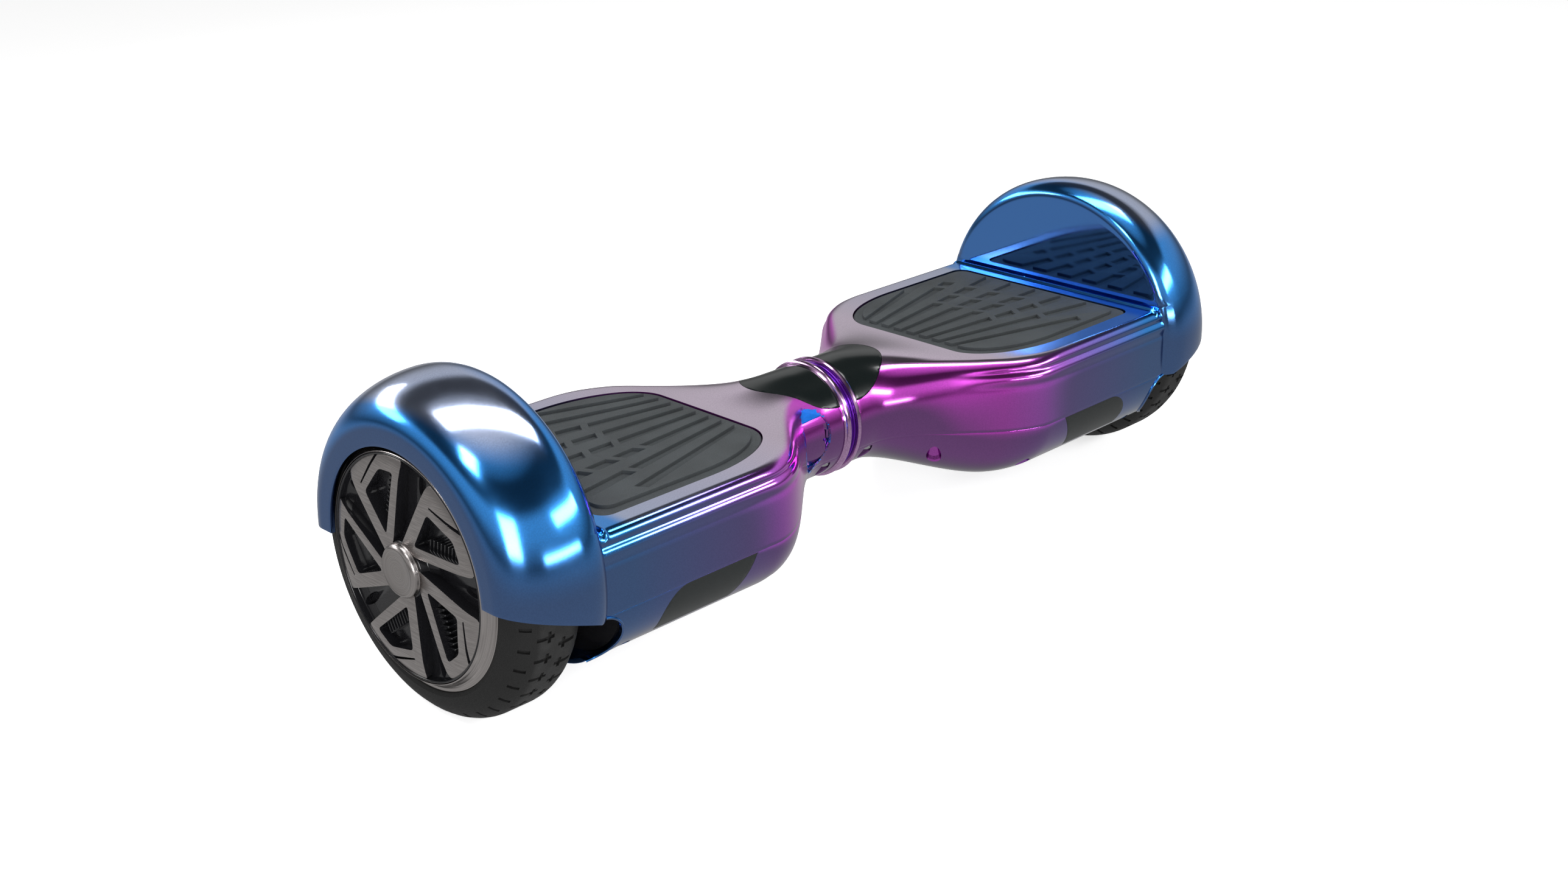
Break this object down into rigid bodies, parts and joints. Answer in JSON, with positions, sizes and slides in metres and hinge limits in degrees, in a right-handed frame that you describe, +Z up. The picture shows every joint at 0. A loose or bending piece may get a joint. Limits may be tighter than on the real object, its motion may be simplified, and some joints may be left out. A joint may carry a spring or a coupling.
{
  "type": "self balancing hoverboard",
  "caption": "Self balancing two-wheel board with twisting halves, ribbed foot pads, hub motor wheels under round fenders and a ringed neck.",
  "frame": {"origin": "on the ground under the middle of the board, centred along and across it", "axes": "+X along the wheel axis towards the right half, -Y towards the front with the lights and the charging port, +Z up"},
  "size_m": [0.584, 0.187, 0.1775],
  "materials": {
    "chrome_shell": "mirror gradient",
    "chrome_ring": "mirror",
    "gloss_black": "gloss",
    "lens_black": "satin",
    "pad_rubber": "matte",
    "tyre_rubber": "matte",
    "cast_aluminium": "as cast",
    "satin_silver": "brushed",
    "steel": "ground",
    "cover_silver": "black with silver loops",
    "board_green": "solder mask",
    "board_black": "matte",
    "copper_steel": "lacquered copper and steel",
    "magnet_grey": "plated",
    "bronze": "sintered",
    "seal_violet": "mirror",
    "battery_blue": "shrink wrap",
    "cable_black": "matte",
    "cable_red": "matte"
  },
  "bodies": {
    "left_half": {"left_upper_shell": "chrome_shell", "left_lower_shell": "chrome_shell", "left_frame": "cast_aluminium", "left_neck_trim": "gloss_black", "left_neck_ring": "chrome_ring", "left_light_lens": "lens_black", "left_light_board": "board_green", "left_sensor_board": "board_green", "left_axle": "steel", "left_axle_clamp": "cast_aluminium", "left_clamp_screws": "steel", "left_shell_screws": "steel", "left_stator": "copper_steel", "left_motor_cable": "cable_black", "pivot_shaft": "steel", "neck_seal": "seal_violet", "main_board": "board_green", "board_standoffs": "bronze", "charge_socket": "board_black", "power_switch": "board_black"},
    "right_half": {"right_upper_shell": "chrome_shell", "right_lower_shell": "chrome_shell", "right_frame": "cast_aluminium", "right_neck_trim": "gloss_black", "right_neck_ring": "chrome_ring", "right_light_lens": "lens_black", "right_light_board": "board_green", "right_sensor_board": "board_green", "right_axle": "steel", "right_axle_clamp": "cast_aluminium", "right_clamp_screws": "steel", "right_shell_screws": "steel", "right_stator": "copper_steel", "right_motor_cable": "cable_black", "pivot_bushes": "bronze", "shaft_circlip": "steel", "twist_limit_pin": "steel", "battery_pack": "battery_blue", "battery_strap": "satin_silver", "battery_cable": "cable_red"},
    "left_wheel": {"left_tyre": "tyre_rubber", "left_rim": "satin_silver", "left_motor_cover": "cast_aluminium", "left_magnet_ring": "magnet_grey", "left_wheel_bearings": "steel", "left_wheel_cover": "cover_silver", "left_hub_cap": "satin_silver"},
    "right_wheel": {"right_tyre": "tyre_rubber", "right_rim": "satin_silver", "right_motor_cover": "cast_aluminium", "right_magnet_ring": "magnet_grey", "right_wheel_bearings": "steel", "right_wheel_cover": "cover_silver", "right_hub_cap": "satin_silver"},
    "left_pad": {"left_foot_pad": "pad_rubber"},
    "right_pad": {"right_foot_pad": "pad_rubber"},
    "charge_door": {"charge_cap": "chrome_shell"},
    "power_key": {"power_button": "gloss_black"}
  },
  "joints": [
    {"name": "half_twist", "type": "hinge", "parent": "left_half", "child": "right_half", "pos_m": [0, 0, 0.0825], "axis": [1, 0, 0], "range_deg": [-10, 10]},
    {"name": "left_wheel_spin", "type": "hinge", "parent": "left_half", "child": "left_wheel", "pos_m": [-0.26, 0, 0.084], "axis": [1, 0, 0], "continuous": true},
    {"name": "right_wheel_spin", "type": "hinge", "parent": "right_half", "child": "right_wheel", "pos_m": [0.26, 0, 0.084], "axis": [1, 0, 0], "continuous": true},
    {"name": "left_pad_press", "type": "slide", "parent": "left_half", "child": "left_pad", "axis": [0, 0, -1], "range_m": [0, 0.0012], "stiffness_N_per_m": 20000},
    {"name": "right_pad_press", "type": "slide", "parent": "right_half", "child": "right_pad", "axis": [0, 0, -1], "range_m": [0, 0.0012], "stiffness_N_per_m": 20000},
    {"name": "charge_cap_hinge", "type": "hinge", "parent": "left_half", "child": "charge_door", "pos_m": [-0.0216, -0.0322, 0.087], "axis": [0, 0, 1], "range_deg": [0, 110]},
    {"name": "power_button_press", "type": "slide", "parent": "left_half", "child": "power_key", "axis": [0, -1, 0], "range_m": [0, 0.0012], "stiffness_N_per_m": 600}
  ]
}
